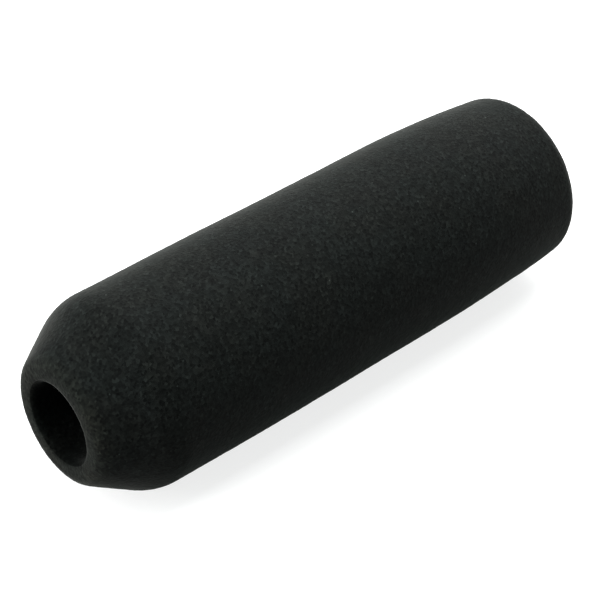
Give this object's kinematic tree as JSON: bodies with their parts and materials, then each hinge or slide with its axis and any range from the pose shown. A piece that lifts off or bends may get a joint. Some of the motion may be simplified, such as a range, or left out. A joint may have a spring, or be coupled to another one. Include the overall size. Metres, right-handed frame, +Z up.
{
  "type": "foam windscreen",
  "caption": "Slip-on foam windscreen for a slim shotgun microphone: a round barrel with a conical open mouth, a blind bore and a blunt closed tip.",
  "frame": {"origin": "centre of the mouth, on the bore's axis, in the plane of the mouth's flat ring", "axes": "+X along the bore from the mouth to the closed tip, +Z up with the windscreen lying on its side"},
  "size_m": [0.1445, 0.0464, 0.0464],
  "materials": {
    "foam": "matt black open-cell polyurethane foam, ground to shape, with cells of about half a millimetre",
    "adhesive": "cured contact adhesive, dull brown-black"
  },
  "bodies": {
    "root": {"foam_sleeve": "foam", "nose_plug": "foam", "glue_film": "adhesive"}
  },
  "joints": []
}
